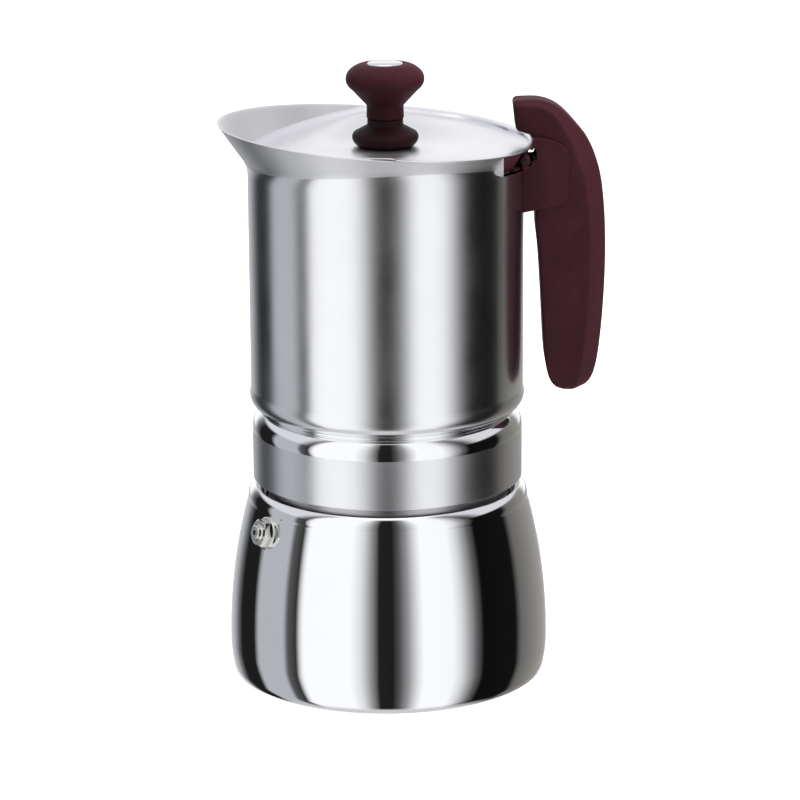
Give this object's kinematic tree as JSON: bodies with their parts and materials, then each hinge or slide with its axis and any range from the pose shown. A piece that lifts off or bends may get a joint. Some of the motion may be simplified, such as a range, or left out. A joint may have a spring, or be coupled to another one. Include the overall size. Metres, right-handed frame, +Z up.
{
  "type": "moka pot",
  "caption": "Stove-top coffee maker: arched steel boiler, screwed-on cylindrical vessel with a flared pouring rim, hinged lid with a knob, and a moulded side handle.",
  "frame": {"origin": "centre of the flat face under the boiler", "axes": "+Z up along the pot's axis, +X towards the handle, -X towards the pouring lip"},
  "size_m": [0.1258, 0.1058, 0.2035],
  "materials": {
    "mirror_steel": "polished",
    "vessel_steel": "polished, slightly soft",
    "satin_steel": "satin, fine scratches",
    "lid_steel": "polished",
    "disc_steel": "satin",
    "plain_steel": "plain",
    "valve_steel": "turned",
    "spring_steel": "plain",
    "brushed_base": "turned rings",
    "brass": "plain",
    "seal_rubber": "matte",
    "burgundy_soft": "soft-touch matte",
    "burgundy_foot": "smooth"
  },
  "bodies": {
    "boiler": {"boiler_shell": "mirror_steel", "base_disc": "brushed_base", "boiler_neck": "plain_steel", "valve_body": "valve_steel", "valve_washer": "valve_steel", "valve_nut": "valve_steel", "valve_seat": "brass", "valve_spring": "spring_steel"},
    "valve_plunger": {"valve_pin": "brass"},
    "funnel": {"filter_funnel": "plain_steel", "funnel_sieve": "plain_steel"},
    "seal_ring": {"gasket": "seal_rubber"},
    "sieve_plate": {"upper_sieve": "plain_steel"},
    "pot": {"collar": "satin_steel", "vessel": "vessel_steel", "vessel_floor": "plain_steel", "column": "plain_steel", "column_cap": "plain_steel", "hinge_block": "burgundy_soft", "hinge_pin": "spring_steel", "handle_bracket": "plain_steel", "handle_screw": "spring_steel", "handle_arm": "burgundy_soft", "handle": "burgundy_soft"},
    "lid": {"lid": "lid_steel", "lid_lugs": "plain_steel", "knob_foot": "burgundy_foot", "knob": "burgundy_soft", "knob_disc": "disc_steel", "knob_screw": "spring_steel", "knob_washer": "spring_steel"}
  },
  "joints": [
    {"name": "valve_lift", "type": "slide", "parent": "boiler", "child": "valve_plunger", "axis": [-0.8022, -0.5472, 0.2388], "range_m": [0, 0.0012], "stiffness_N_per_m": 400, "springref_m": -0.002, "deforming": ["valve_spring"]},
    {"name": "funnel_lift", "type": "slide", "parent": "boiler", "child": "funnel", "axis": [0, 0, 1], "range_m": [0, 0.08]},
    {"name": "lift_off", "type": "slide", "parent": "boiler", "child": "seal_ring", "axis": [0, 0, 1], "range_m": [0, 0.16]},
    {"name": "thread_rise", "type": "slide", "parent": "seal_ring", "child": "sieve_plate", "axis": [0, 0, 1], "range_m": [0, 0.006]},
    {"name": "unscrew", "type": "hinge", "parent": "sieve_plate", "child": "pot", "pos_m": [0, 0, 0.0835], "axis": [0, 0, 1], "range_deg": [0, 720]},
    {"name": "lid_hinge", "type": "hinge", "parent": "pot", "child": "lid", "pos_m": [0.0446, 0, 0.1742], "axis": [0, 1, 0], "range_deg": [0, 51]}
  ],
  "couplings": [
    {"joint": "thread_rise", "follows": "unscrew", "m_per_rad": 0.00047746},
    {"joint": "funnel_lift", "follows": "lift_off", "ratio": 0.5}
  ]
}
